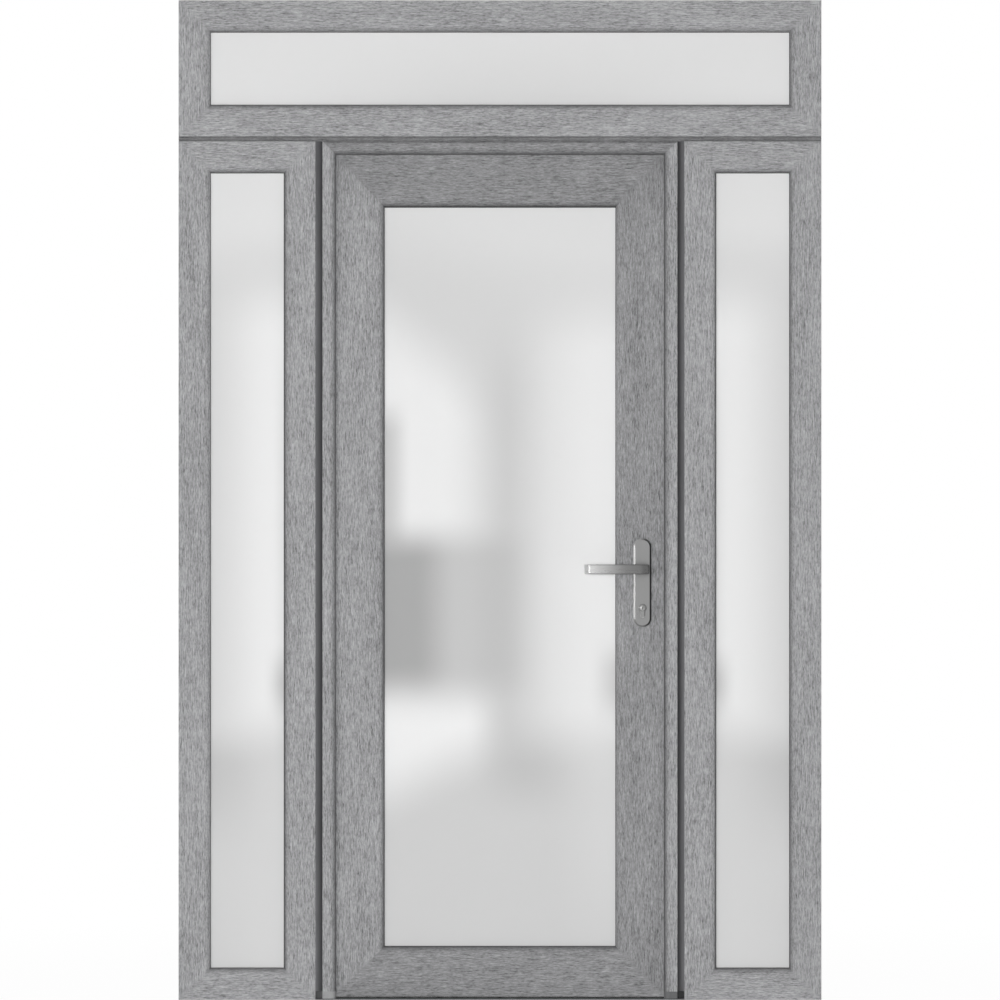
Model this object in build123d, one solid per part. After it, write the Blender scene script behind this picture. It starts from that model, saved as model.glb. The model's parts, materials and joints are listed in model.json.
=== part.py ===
from build123d import *
import os

os.makedirs("parts", exist_ok=True)

# Entrance door set: a glazed door between two glazed sidelights, with a transom light over all three.
# Millimetres, +Z up. X runs across the door, -Y is outdoors, and Z is 0 on the floor under the threshold.

# Whole set
set_width = 1524.0
lower_height = 2036.0         # door frame and sidelights
transom_joint = 11.0          # coupling rail between them and the transom
transom_height = 323.0
sidelight_width = 325.0
frame_depth = 70.0

# Section of the fixed lights
light_face = 75.0             # outer edge to sight line
front_lip = 15.0              # lip in front of the glass
sight_round = 13.0            # rounded arris beside glass and leaf
arris_round = 2.0             # all other visible arrises
rebate_width = 20.0           # how far the lip stands over the glass edge
glass_edge_gap = 4.0          # pane edge to rebate floor

# Double glazing
pane_thickness = 4.0
pane_space = 16.0
gasket_thickness = 3.0
gasket_cover = 11.0           # gasket width behind the lip
gasket_lip = 1.0              # gasket showing past the sight line
spacer_width = 9.0
spacer_gap = 0.2              # sealant line at each side of the spacer
bead_chamfer = 1.5            # open joint between bead and frame
bead_round = 8.0              # rounded arris beside the glass indoors
bead_mitre_gap = 0.4

# Door frame
jamb_face = 32.0
jamb_lip = 18.0               # lip in front of the leaf
side_joint = 16.0             # open joint beside each sidelight
side_joint_depth = 34.0
head_joint = 4.0              # open joint over the head
head_joint_depth = 12.0
seal_thickness = 3.0
seal_width = 9.0
seal_inset = 1.0              # seal edge behind the lip's edge
seal_butt_gap = 0.4           # side seals stop short of the head seal
threshold_thickness = 3.0
threshold_nose = 1.5
tread_groove_width = 3.0
tread_groove_depth = 0.8
tread_groove_pitch = 9.0
tread_groove_count = 5
sill_block_height = 17.0

# Joint trims
strip_slope = 20.0            # fall of the joint strip towards the door
strip_thickness = 6.0
rail_recess = 5.0             # coupling rail behind the frame faces
rail_shadow_gap = 2.5
rail_shadow_depth = 6.0

# Door leaf
running_clearance = 5.0
sill_clearance = 3.0          # leaf to threshold
leaf_cover = 6.0              # leaf edge hidden behind the frame lip
leaf_gap = 11.0               # leaf edge to the frame behind the lip
stile_width = 120.0
top_rail_width = 129.5
bottom_rail_width = 119.0
inner_lip_cover = 8.0         # leaf lip lying over the frame indoors
inner_lip_thickness = 13.0

# Hinges
hinge_length = 92.0
hinge_radius = 8.0
hinge_pin_radius = 4.0
hinge_pin_gap = 0.05
knuckle_gap = 0.4
middle_knuckle = 36.0
hinge_plate_thickness = 3.0
hinge_leaf_reach = 40.0
hinge_post_width = 12.0
hinge_cap_height = 4.0
hinge_plate_inset = 1.0       # frame part's edge to the jamb's edge
hinge_end_distance = 260.0    # from the leaf's ends to the outer hinges' middles

# Lock
faceplate_width = 20.0
faceplate_thickness = 2.5
faceplate_end_distance = 160.0
bolt_gap = 0.3
latch_size = (12.0, 34.0)
dead_bolt_size = (12.0, 40.0)
bolt_depth = 20.0
keeper_width = 24.0
keeper_margin = 22.0
keeper_thickness = 3.0
keeper_pocket = 12.0
keeper_play = 2.5             # room round each bolt

# Handle
lever_backset = 57.0          # leaf edge to lever axis
lever_height = 1021.0
cylinder_drop = 92.0          # lever axis to key axis
plate_width = 42.0
plate_above_axis = 73.0
plate_below_axis = 137.0
plate_corner = 20.0
plate_thickness = 10.0
plate_bevel = 4.0
neck_radius = 9.5
neck_gap = 0.1
spindle_size = 8.0
spindle_gap = 0.1
spindle_socket = 16.0
spindle_bore_radius = 12.0
lever_reach = 140.0           # axis to tip
lever_heel = 15.0             # bar running past the axis
lever_bar_height = 23.0
lever_bar_thickness = 11.0
lever_flat = 42.0             # axis to where the bar's front starts to fall back
lever_bow = 6.0               # how far it falls back
lever_slant = 12.0            # width of the slanting face at the tip
lever_finger_gap = 36.0       # plate to bar
lever_return = 18.0           # tip turned back towards the door
lever_tip_outer = 3.5
lever_tip_inner = 4.0
lever_end_round = 3.0
lever_edge_bevel = 2.0

# Key cylinder
cylinder_radius = 8.5
cylinder_tail_width = 10.0
cylinder_height = 33.0
cylinder_proud = 2.0
cylinder_gap = 0.2
plate_cylinder_gap = 0.8      # wider round the cylinder in the handle plates
plug_radius = 6.5
plug_proud = 0.8
keyway_width = 1.8
keyway_height = 9.0
keyway_depth = 14.0

overcut = 1.0                 # how far a cut runs on past the face that it opens

# Derived planes
half_width = set_width / 2
front = -frame_depth / 2
back = frame_depth / 2
transom_bottom = lower_height + transom_joint
set_top = transom_bottom + transom_height
door_half = half_width - sidelight_width
frame_half = door_half - side_joint
opening_half = frame_half - jamb_face
opening_top = lower_height - jamb_face
leaf_half = opening_half + leaf_cover
leaf_top = opening_top + leaf_cover
leaf_bottom = threshold_thickness + sill_clearance
frame_web_half = leaf_half + leaf_gap
frame_web_top = leaf_top + leaf_gap
lip_half = frame_web_half + inner_lip_cover
lip_top = frame_web_top + inner_lip_cover
jamb_foot = threshold_thickness + sill_block_height
frame_lip_back = front + jamb_lip
leaf_front = frame_lip_back + seal_thickness + running_clearance
inner_lip_front = back + running_clearance
leaf_back = inner_lip_front + inner_lip_thickness
glass_thickness = 2 * pane_thickness + pane_space
hinge_x = -(lip_half + running_clearance + hinge_radius)
hinge_y = leaf_back + hinge_plate_thickness
lever_x = leaf_half - lever_backset
key_height = lever_height - cylinder_drop
leaf_middle = (leaf_front + leaf_back) / 2


def eased(face, corners, ease):
    """Outline with the named corners eased by a fillet or a chamfer of the size given with each."""
    for point, size in corners:
        corner = face.vertices().sort_by_distance(Vector(*point, 0))[0]
        face = ease(corner, size)
    return face


def section(points, rounds):
    """Closed outline with some of its corners rounded."""
    return eased(make_face(Polyline(*points, close=True)), rounds, fillet)


def prism(points, y_near, y_far):
    """Front-view outline in X and Z, carried through the depth from y_near to y_far."""
    outline = make_face(Polyline(*points, close=True))
    return extrude(Plane.XZ.offset(-y_far) * outline, amount=y_far - y_near)


def slab(x0, x1, y0, y1, z0, z1):
    """Box between two corners."""
    return Pos((x0 + x1) / 2, (y0 + y1) / 2, (z0 + z1) / 2) * Box(x1 - x0, y1 - y0, z1 - z0)


def rectangle_of(box):
    left, bottom, right, top = box
    return [(left, bottom), (right, bottom), (right, top), (left, top)]


def inset(box, amount):
    left, bottom, right, top = box
    return (left + amount, bottom + amount, right - amount, top - amount)


def ring(outer, inner, y_near, y_far):
    """Flat rectangular ring."""
    return prism(rectangle_of(outer), y_near, y_far) - prism(rectangle_of(inner), y_near, y_far)


def run(side, box, profile):
    """Profile run along one side of a box: its first axis points inwards, its second indoors."""
    left, bottom, right, top = box
    places = {
        "left": ((left, 0, bottom), (1, 0, 0), (0, 0, 1), top - bottom),
        "right": ((right, 0, top), (-1, 0, 0), (0, 0, -1), top - bottom),
        "bottom": ((right, 0, bottom), (0, 0, 1), (-1, 0, 0), right - left),
        "top": ((left, 0, top), (0, 0, -1), (1, 0, 0), right - left),
    }
    origin, inward, along, length = places[side]
    return extrude(Plane(origin=origin, x_dir=inward, z_dir=along) * profile, amount=length)


def mitre_outlines(outer, inner):
    """Front-view outlines of a frame's four sides, cut from the outer to the inner corners."""
    left, bottom, right, top = outer
    in_left, in_bottom, in_right, in_top = inner
    return {
        "left": [(left, bottom), (in_left, in_bottom), (in_left, in_top), (left, top)],
        "right": [(right, bottom), (in_right, in_bottom), (in_right, in_top), (right, top)],
        "bottom": [(left, bottom), (in_left, in_bottom), (in_right, in_bottom), (right, bottom)],
        "top": [(left, top), (in_left, in_top), (in_right, in_top), (right, top)],
    }


def write(name, *shapes):
    solids = [solid for shape in shapes for solid in shape.solids()]
    export_step(solids[0] if len(solids) == 1 else Compound(children=solids), f"parts/{name}.step")


# Glazing: panes, spacer, gaskets and beads behind one front lip
def glazing(sight, lip_back, bead_back):
    """Panes, spacer, gaskets and beads of one double-glazed light, from its sight line."""
    floor = inset(sight, -rebate_width)
    pane = inset(floor, glass_edge_gap)
    outer_face = lip_back + gasket_thickness
    inner_face = outer_face + glass_thickness
    bead_front = inner_face + gasket_thickness
    panes = [
        prism(rectangle_of(pane), outer_face, outer_face + pane_thickness),
        prism(rectangle_of(pane), inner_face - pane_thickness, inner_face),
    ]
    spacer = ring(
        pane,
        inset(pane, spacer_width),
        outer_face + pane_thickness + spacer_gap,
        inner_face - pane_thickness - spacer_gap,
    )
    covered = inset(sight, -gasket_cover)
    shown = inset(sight, gasket_lip)
    gaskets = [
        ring(covered, shown, lip_back, outer_face),
        ring(covered, shown, inner_face, bead_front),
    ]
    bead_corner = (rebate_width, bead_back)
    bead_heel = (0, bead_back)
    bead_section = section(
        [(0, bead_front), (rebate_width, bead_front), bead_corner, bead_heel],
        [(bead_corner, min(bead_round, (bead_back - bead_front) / 2))],
    )
    bead_section = eased(bead_section, [(bead_heel, bead_chamfer)], chamfer)
    beads = []
    for side, outline in mitre_outlines(floor, sight).items():
        bead = run(side, floor, bead_section) & prism(outline, bead_front, bead_back)
        beads.append(bead - mitre_saws(floor, sight, bead_front, bead_back))
    return {"glass": panes, "spacer": [spacer], "gaskets": gaskets, "beads": beads}


def mitre_saws(outer, inner, y_near, y_far):
    """Thin cuts along the four mitres, which keep the bead ends apart."""
    left, bottom, right, top = outer
    in_left, in_bottom, in_right, in_top = inner
    half = bead_mitre_gap / 2
    cuts = []
    corners = [
        ((left, bottom), (in_left, in_bottom)),
        ((right, bottom), (in_right, in_bottom)),
        ((left, top), (in_left, in_top)),
        ((right, top), (in_right, in_top)),
    ]
    for (x0, z0), (x1, z1) in corners:
        along = Vector(x1 - x0, z1 - z0).normalized()
        across = Vector(-along.Y, along.X) * half
        start = Vector(x0, z0) - along * overcut
        end = Vector(x1, z1) + along * overcut
        points = [start + across, end + across, end - across, start - across]
        cuts.append(prism([(point.X, point.Y) for point in points], y_near - overcut, y_far + overcut))
    return cuts


# Fixed lights: transom and sidelights
light_sight_corner = (light_face, front)
light_back_corner = (0, front)
light_section = section(
    [
        light_back_corner,
        light_sight_corner,
        (light_face, front + front_lip),
        (light_face - rebate_width, front + front_lip),
        (light_face - rebate_width, back),
        (0, back),
    ],
    [(light_sight_corner, sight_round), (light_back_corner, arris_round)],
)

fixed_lights = {
    "transom": (
        (-half_width, transom_bottom, half_width, set_top),
        {"left": "left_stile", "right": "right_stile", "bottom": "bottom_rail", "top": "top_rail"},
    ),
    "left_sidelight": (
        (-half_width, 0.0, -door_half, lower_height),
        {"left": "outer_stile", "right": "inner_stile", "bottom": "bottom_rail", "top": "top_rail"},
    ),
    "right_sidelight": (
        (door_half, 0.0, half_width, lower_height),
        {"left": "inner_stile", "right": "outer_stile", "bottom": "bottom_rail", "top": "top_rail"},
    ),
}

fixed_gaskets = []
fixed_spacers = []
for light_name, (outer, side_names) in fixed_lights.items():
    sight = inset(outer, light_face)
    for side, outline in mitre_outlines(outer, sight).items():
        member = run(side, outer, light_section) & prism(outline, front, back)
        write(f"{light_name}_{side_names[side]}", member)
    pieces = glazing(sight, front + front_lip, back)
    write(f"{light_name}_glass", *pieces["glass"])
    write(f"{light_name}_beads", *pieces["beads"])
    fixed_gaskets += pieces["gaskets"]
    fixed_spacers += pieces["spacer"]
write("fixed_light_gaskets", *fixed_gaskets)
write("fixed_light_spacers", *fixed_spacers)

# Coupling rail under the transom: a rib between two shadow grooves
rail_front = front + rail_recess
rail_section = section(
    [
        (rail_front + rail_shadow_depth, 0),
        (rail_front + rail_shadow_depth, rail_shadow_gap),
        (rail_front, rail_shadow_gap),
        (rail_front, transom_joint - rail_shadow_gap),
        (rail_front + rail_shadow_depth, transom_joint - rail_shadow_gap),
        (rail_front + rail_shadow_depth, transom_joint),
        (back, transom_joint),
        (back, 0),
    ],
    [],
)
rail_place = Plane(origin=(-half_width, 0, lower_height), x_dir=(0, 1, 0), z_dir=(1, 0, 0))
write("transom_coupling_rail", extrude(rail_place * rail_section, amount=set_width))

# Door frame: jambs and head share one rebated section, and the jambs reach behind the side joints
jamb_width = side_joint + jamb_face
jamb_web = door_half - frame_web_half
joint_floor = front + side_joint_depth
jamb_sight_corner = (jamb_width, front)
jamb_outer_corner = (side_joint, front)
jamb_section = section(
    [
        (0, joint_floor),
        (side_joint, joint_floor),
        jamb_outer_corner,
        jamb_sight_corner,
        (jamb_width, frame_lip_back),
        (jamb_web, frame_lip_back),
        (jamb_web, back),
        (0, back),
    ],
    [(jamb_sight_corner, sight_round), (jamb_outer_corner, arris_round)],
)
head_sight_corner = (jamb_face, front)
head_outer_corner = (0, front)
head_section = section(
    [
        head_outer_corner,
        head_sight_corner,
        (jamb_face, frame_lip_back),
        (lower_height - frame_web_top, frame_lip_back),
        (lower_height - frame_web_top, back),
        (0, back),
    ],
    [(head_sight_corner, sight_round), (head_outer_corner, arris_round)],
)
frame_box = (-door_half, jamb_foot, door_half, lower_height)
jamb_outline = [
    (-door_half, jamb_foot),
    (-opening_half, jamb_foot),
    (-opening_half, opening_top),
    (-frame_half, lower_height),
    (-door_half, lower_height),
]
head_outline = [
    (-frame_half, lower_height),
    (-opening_half, opening_top),
    (opening_half, opening_top),
    (frame_half, lower_height),
]
over_head = slab(
    -frame_half,
    frame_half,
    front,
    front + head_joint_depth,
    lower_height - head_joint,
    lower_height,
)
hinge_jamb = run("left", frame_box, jamb_section) & prism(jamb_outline, front, back)
hinge_jamb -= over_head
lock_jamb = mirror(hinge_jamb, about=Plane.YZ)
frame_head = run("top", frame_box, head_section) & prism(head_outline, front, back)
frame_head -= over_head
write("hinge_jamb", hinge_jamb)
write("frame_head", frame_head)

# Sill blocks under the jambs, on the ends of the threshold
block_box = (-door_half, threshold_thickness, door_half, jamb_foot)
left_block = run("left", block_box, jamb_section)
write("left_sill_block", left_block)
write("right_sill_block", mirror(left_block, about=Plane.YZ))

# Threshold plate with a nosed front and back and grooves underfoot
threshold_section = section(
    [
        (front, 0),
        (front, threshold_thickness - threshold_nose),
        (front + threshold_nose, threshold_thickness),
        (back - threshold_nose, threshold_thickness),
        (back, threshold_thickness - threshold_nose),
        (back, 0),
    ],
    [],
)
threshold_place = Plane(origin=(-door_half, 0, 0), x_dir=(0, 1, 0), z_dir=(1, 0, 0))
threshold = extrude(threshold_place * threshold_section, amount=2 * door_half)
for index in range(tread_groove_count):
    groove_y = (index - (tread_groove_count - 1) / 2) * tread_groove_pitch
    threshold -= slab(
        -opening_half,
        opening_half,
        groove_y - tread_groove_width / 2,
        groove_y + tread_groove_width / 2,
        threshold_thickness - tread_groove_depth,
        threshold_thickness + overcut,
    )
write("threshold", threshold)

# Joint strips: dark fillers in the side joints, falling back towards the door
strip_near = joint_floor - strip_thickness
strip_outline = make_face(
    Polyline(
        (-door_half, strip_near - strip_slope),
        (-frame_half, strip_near),
        (-frame_half, joint_floor),
        (-door_half, joint_floor),
        close=True,
    )
)
left_strip = extrude(Pos(0, 0, jamb_foot) * strip_outline, amount=lower_height - jamb_foot)
write("joint_strips", left_strip, mirror(left_strip, about=Plane.YZ))

# Seal strips on the back of the frame lip, butted at the head
seal_back = frame_lip_back + seal_thickness
side_seal = slab(
    -opening_half - seal_inset - seal_width,
    -opening_half - seal_inset,
    frame_lip_back,
    seal_back,
    jamb_foot,
    opening_top + seal_inset - seal_butt_gap,
)
head_seal = slab(
    -opening_half - seal_inset - seal_width,
    opening_half + seal_inset + seal_width,
    frame_lip_back,
    seal_back,
    opening_top + seal_inset,
    opening_top + seal_inset + seal_width,
)
write("frame_seal", side_seal, mirror(side_seal, about=Plane.YZ), head_seal)

# Door leaf: four mitred members with a lip that laps the frame indoors
leaf_sight = (
    -leaf_half + stile_width,
    leaf_bottom + bottom_rail_width,
    leaf_half - stile_width,
    leaf_top - top_rail_width,
)
leaf_lip_back = leaf_front + front_lip
lip_reach = lip_half - leaf_half


def leaf_section(width, reach):
    """Section of a leaf member: width to the sight line, reach of its inner lip past the leaf edge."""
    sight_corner = (reach + width, leaf_front)
    edge_corner = (reach, leaf_front)
    lip_corner = (0, leaf_back)
    points = [
        edge_corner,
        sight_corner,
        (reach + width, leaf_lip_back),
        (reach + width - rebate_width, leaf_lip_back),
        (reach + width - rebate_width, leaf_back),
        lip_corner,
    ]
    if reach:
        points += [(0, inner_lip_front), (reach, inner_lip_front)]
    return section(
        points,
        [(sight_corner, sight_round), (edge_corner, arris_round), (lip_corner, arris_round)],
    )


leaf_box = (-lip_half, leaf_bottom, lip_half, lip_top)
in_left, in_bottom, in_right, in_top = leaf_sight
stile_outline = [
    (-lip_half, leaf_bottom),
    (-leaf_half, leaf_bottom),
    (in_left, in_bottom),
    (in_left, in_top),
    (-lip_half, lip_top),
]
top_rail_outline = [(-lip_half, lip_top), (in_left, in_top), (in_right, in_top), (lip_half, lip_top)]
bottom_rail_outline = [
    (-leaf_half, leaf_bottom),
    (in_left, in_bottom),
    (in_right, in_bottom),
    (leaf_half, leaf_bottom),
]
hinge_stile = run("left", leaf_box, leaf_section(stile_width, lip_reach))
hinge_stile &= prism(stile_outline, leaf_front, leaf_back)
top_rail = run("top", leaf_box, leaf_section(top_rail_width, lip_reach))
top_rail &= prism(top_rail_outline, leaf_front, leaf_back)
bottom_rail = run("bottom", leaf_box, leaf_section(bottom_rail_width, 0))
bottom_rail &= prism(bottom_rail_outline, leaf_front, leaf_back)
lock_stile = mirror(hinge_stile, about=Plane.YZ)
write("leaf_hinge_stile", hinge_stile)
write("leaf_top_rail", top_rail)
write("leaf_bottom_rail", bottom_rail)
leaf_glazing = glazing(leaf_sight, leaf_lip_back, leaf_back)
write("leaf_glass", *leaf_glazing["glass"])
write("leaf_beads", *leaf_glazing["beads"])
write("leaf_gaskets", *leaf_glazing["gaskets"])
write("leaf_spacer", *leaf_glazing["spacer"])

# Lock: a long faceplate let into the leaf edge, with latch and dead bolt drawn back flush in it
edge_middle = (leaf_front + inner_lip_front) / 2
faceplate_bottom = leaf_bottom + faceplate_end_distance
faceplate_top = leaf_top - faceplate_end_distance


def bolt_block(size, height, grow, x0, x1):
    """Block of a bolt's section about its middle on the lock edge."""
    depth_size, height_size = size
    return slab(
        x0,
        x1,
        edge_middle - depth_size / 2 - grow,
        edge_middle + depth_size / 2 + grow,
        height - height_size / 2 - grow,
        height + height_size / 2 + grow,
    )


faceplate = slab(
    leaf_half - faceplate_thickness,
    leaf_half,
    edge_middle - faceplate_width / 2,
    edge_middle + faceplate_width / 2,
    faceplate_bottom,
    faceplate_top,
)
lock_stile -= faceplate
bolts = []
for bolt_size, bolt_height in ((latch_size, lever_height), (dead_bolt_size, key_height)):
    bolt_hole = bolt_block(bolt_size, bolt_height, bolt_gap, leaf_half - bolt_depth, leaf_half + overcut)
    faceplate -= bolt_hole
    lock_stile -= bolt_hole
    bolts.append(bolt_block(bolt_size, bolt_height, 0, leaf_half - bolt_depth, leaf_half))
write("lock_faceplate", faceplate)
write("lock_bolts", *bolts)

# Keeper let into the lock jamb, with pockets for the two bolts
keeper = slab(
    frame_web_half,
    frame_web_half + keeper_thickness,
    edge_middle - keeper_width / 2,
    edge_middle + keeper_width / 2,
    key_height - dead_bolt_size[1] / 2 - keeper_margin,
    lever_height + latch_size[1] / 2 + keeper_margin,
)
lock_jamb -= keeper
for bolt_size, bolt_height in ((latch_size, lever_height), (dead_bolt_size, key_height)):
    pocket = bolt_block(
        bolt_size, bolt_height, keeper_play, frame_web_half - overcut, frame_web_half + keeper_pocket
    )
    keeper -= pocket
    lock_jamb -= pocket
write("lock_jamb", lock_jamb)
write("lock_keeper", keeper)


# Key cylinder: a round plug barrel with a narrower tail below it
def cylinder_outline(grow):
    tail_drop = cylinder_height - cylinder_radius - cylinder_tail_width / 2
    tail_middle = Pos(0, -tail_drop / 2)
    tail_end = Pos(0, -tail_drop)
    outline = Circle(cylinder_radius + grow)
    outline += tail_middle * Rectangle(cylinder_tail_width + 2 * grow, tail_drop)
    outline += tail_end * Circle(cylinder_tail_width / 2 + grow)
    return outline


def through(outline, x, z, y_near, y_far):
    """Outline in X and Z about a point, carried through the depth."""
    return extrude(Plane.XZ.offset(-y_far) * Pos(x, z) * outline, amount=y_far - y_near)


outer_plate_face = leaf_front - plate_thickness
inner_plate_face = leaf_back + plate_thickness
cylinder_near = outer_plate_face - cylinder_proud
cylinder_far = inner_plate_face + cylinder_proud
lock_cylinder = through(cylinder_outline(0), lever_x, key_height, cylinder_near, cylinder_far)
lock_cylinder += through(
    Circle(plug_radius), lever_x, key_height, cylinder_near - plug_proud, cylinder_far + plug_proud
)
keyway = Rectangle(keyway_width, keyway_height)
lock_cylinder -= through(
    keyway, lever_x, key_height, cylinder_near - plug_proud, cylinder_near + keyway_depth
)
lock_cylinder -= through(
    keyway, lever_x, key_height, cylinder_far - keyway_depth, cylinder_far + plug_proud
)
write("lock_cylinder", lock_cylinder)
cylinder_hole = through(cylinder_outline(cylinder_gap), lever_x, key_height, cylinder_near, cylinder_far)
spindle_bore = through(Circle(spindle_bore_radius), lever_x, lever_height, leaf_front, leaf_back)
write("leaf_lock_stile", lock_stile - cylinder_hole - spindle_bore)

# Handle plates: long rounded plates with a bevelled front edge
plate_length = plate_above_axis + plate_below_axis
plate_middle = lever_height + (plate_above_axis - plate_below_axis) / 2
plate_outline = RectangleRounded(plate_width, plate_length, plate_corner)
plate_blank = through(plate_outline, lever_x, plate_middle, outer_plate_face, leaf_front)
plate_rim = plate_blank.faces().sort_by(Axis.Y)[0].edges()
plate_blank = chamfer(plate_rim, plate_bevel)
neck_bore = through(Circle(neck_radius + neck_gap), lever_x, lever_height, outer_plate_face, leaf_front)
plate_slot = through(
    cylinder_outline(plate_cylinder_gap), lever_x, key_height, outer_plate_face, leaf_front
)
outer_plate = plate_blank - neck_bore - plate_slot
leaf_mirror = Plane.XZ.offset(-leaf_middle)
write("outer_handle_plate", outer_plate)
write("inner_handle_plate", mirror(outer_plate, about=leaf_mirror))

# Levers: a bar whose front falls back to a slanting tip that is turned to the door, on a round neck
bar_near = outer_plate_face - lever_finger_gap
bar_far = bar_near - lever_bar_thickness
tip_x = lever_x - lever_reach
turn_x = tip_x + lever_bar_thickness
heel_x = lever_x + lever_heel
tip_y = bar_near + lever_return
flat_x = lever_x - lever_flat
slant_x = tip_x + lever_slant
slant_y = bar_far + lever_bow
lever_front = TangentArc((flat_x, bar_far), (slant_x, slant_y), tangent=(-1, 0))
lever_back = Polyline(
    (slant_x, slant_y),
    (tip_x, tip_y),
    (turn_x, tip_y),
    (turn_x, bar_near),
    (heel_x, bar_near),
    (heel_x, bar_far),
    (flat_x, bar_far),
)
lever_plan = eased(
    make_face(lever_back.edges() + lever_front.edges()),
    [
        ((turn_x, bar_near), lever_tip_inner),
        ((tip_x, tip_y), lever_end_round),
        ((slant_x, slant_y), lever_tip_outer),
        ((heel_x, bar_far), lever_end_round),
    ],
    fillet,
)
lever_bar = extrude(Pos(0, 0, lever_height - lever_bar_height / 2) * lever_plan, amount=lever_bar_height)
bar_rims = lever_bar.faces().sort_by(Axis.Z)[0].edges() + lever_bar.faces().sort_by(Axis.Z)[-1].edges()
outer_rims = []
for rim in bar_rims:
    middle = rim.center()
    on_slant = middle.X < turn_x - lever_end_round and middle.Y < tip_y - lever_end_round
    if middle.Y < bar_near - lever_edge_bevel or on_slant:
        outer_rims.append(rim)
lever_bar = chamfer(outer_rims, lever_edge_bevel)
neck = through(
    Circle(neck_radius), lever_x, lever_height, bar_near - lever_bar_thickness / 2, leaf_front
)
socket_size = spindle_size + 2 * spindle_gap
socket = through(
    Rectangle(socket_size, socket_size), lever_x, lever_height, leaf_front - spindle_socket, leaf_front
)
outer_lever = lever_bar + neck - socket
write("outer_lever", outer_lever)
write("inner_lever", mirror(outer_lever, about=leaf_mirror))
spindle_near = leaf_front - spindle_socket + spindle_gap
spindle_far = leaf_back + spindle_socket - spindle_gap
write(
    "spindle",
    through(Rectangle(spindle_size, spindle_size), lever_x, lever_height, spindle_near, spindle_far),
)

# Hinges: two frame knuckles on posts, a leaf knuckle between them, and a capped pin
outer_knuckle = (hinge_length - middle_knuckle) / 2 - knuckle_gap
hinge_middles = [
    leaf_bottom + hinge_end_distance,
    (leaf_bottom + leaf_top) / 2,
    leaf_top - hinge_end_distance,
]


def upright(radius, z0, z1):
    """Round bar on the hinge axis."""
    return extrude(Pos(hinge_x, hinge_y, z0) * Circle(radius), amount=z1 - z0)


frame_parts = []
leaf_parts = []
pins = []
for middle in hinge_middles:
    low = middle - hinge_length / 2
    high = middle + hinge_length / 2
    bore = upright(hinge_pin_radius + hinge_pin_gap, low, high)
    frame_part = slab(
        -door_half + hinge_plate_inset,
        hinge_x + hinge_radius,
        back,
        back + hinge_plate_thickness,
        low,
        high,
    )
    for z0, z1 in ((low, low + outer_knuckle), (high - outer_knuckle, high)):
        frame_part += upright(hinge_radius, z0, z1)
        frame_part += slab(
            hinge_x - hinge_post_width / 2, hinge_x + hinge_post_width / 2, back, hinge_y, z0, z1
        )
    frame_parts.append(frame_part - bore)
    leaf_plate_back = leaf_back + hinge_plate_thickness
    leaf_edge = -lip_half + arris_round
    leaf_part = slab(leaf_edge, -lip_half + hinge_leaf_reach, leaf_back, leaf_plate_back, low, high)
    knuckle_low = middle - middle_knuckle / 2
    knuckle_high = middle + middle_knuckle / 2
    leaf_part += slab(hinge_x, leaf_edge, leaf_back, leaf_plate_back, knuckle_low, knuckle_high)
    leaf_part += upright(hinge_radius, knuckle_low, knuckle_high)
    leaf_parts.append(leaf_part - bore)
    pin = upright(hinge_pin_radius, low, high)
    pin += upright(hinge_radius, high, high + hinge_cap_height)
    pins.append(pin + upright(hinge_radius, low - hinge_cap_height, low))
write("hinge_frame_parts", *frame_parts)
write("hinge_leaf_parts", *leaf_parts)
write("hinge_pins", *pins)
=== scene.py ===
import json
import math
import bpy
import numpy as np
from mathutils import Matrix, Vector


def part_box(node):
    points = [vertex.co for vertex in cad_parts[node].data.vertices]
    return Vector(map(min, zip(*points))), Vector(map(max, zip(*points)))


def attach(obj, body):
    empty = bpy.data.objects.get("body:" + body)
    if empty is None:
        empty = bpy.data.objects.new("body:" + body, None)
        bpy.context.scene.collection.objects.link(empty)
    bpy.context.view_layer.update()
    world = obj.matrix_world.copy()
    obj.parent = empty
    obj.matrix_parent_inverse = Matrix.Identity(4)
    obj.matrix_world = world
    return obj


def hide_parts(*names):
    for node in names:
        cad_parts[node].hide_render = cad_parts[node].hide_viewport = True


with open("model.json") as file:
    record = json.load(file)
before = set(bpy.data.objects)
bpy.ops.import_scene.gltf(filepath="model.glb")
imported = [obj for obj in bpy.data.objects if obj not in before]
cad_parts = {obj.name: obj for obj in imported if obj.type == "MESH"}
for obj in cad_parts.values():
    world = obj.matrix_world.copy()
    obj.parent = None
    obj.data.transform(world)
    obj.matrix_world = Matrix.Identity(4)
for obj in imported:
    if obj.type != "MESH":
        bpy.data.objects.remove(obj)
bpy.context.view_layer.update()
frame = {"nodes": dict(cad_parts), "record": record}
nodes = frame["nodes"]
recordSlots = {row["node"]: row["material_slot"] for row in frame["record"]["subparts"]}
print("frame loaded:", len(nodes), "nodes")

# Camera: a straight elevation from far off, so that the set shows no perspective
camera = {
    "lens": 300.0,
    "sensor": 36.0,
    "viewHeight": 2.3705,  # height of the picture at the front faces
    "frontFace": -0.035,
    "clip": (0.02, 5.0),  # shares of the distance
}


def placeCamera(setup):
    data = bpy.data.cameras.new("elevationCamera")
    data.lens = setup["lens"]
    data.sensor_width = setup["sensor"]
    distance = setup["viewHeight"] * setup["lens"] / setup["sensor"]  # similar triangles
    data.clip_start, data.clip_end = (distance * share for share in setup["clip"])
    eye = bpy.data.objects.new("elevationCamera", data)
    eye.location = (0, setup["frontFace"] - distance, setup["viewHeight"] / 2)
    eye.rotation_euler = (math.pi / 2, 0, 0)
    bpy.context.collection.objects.link(eye)
    bpy.context.scene.camera = eye


placeCamera(camera)


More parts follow.
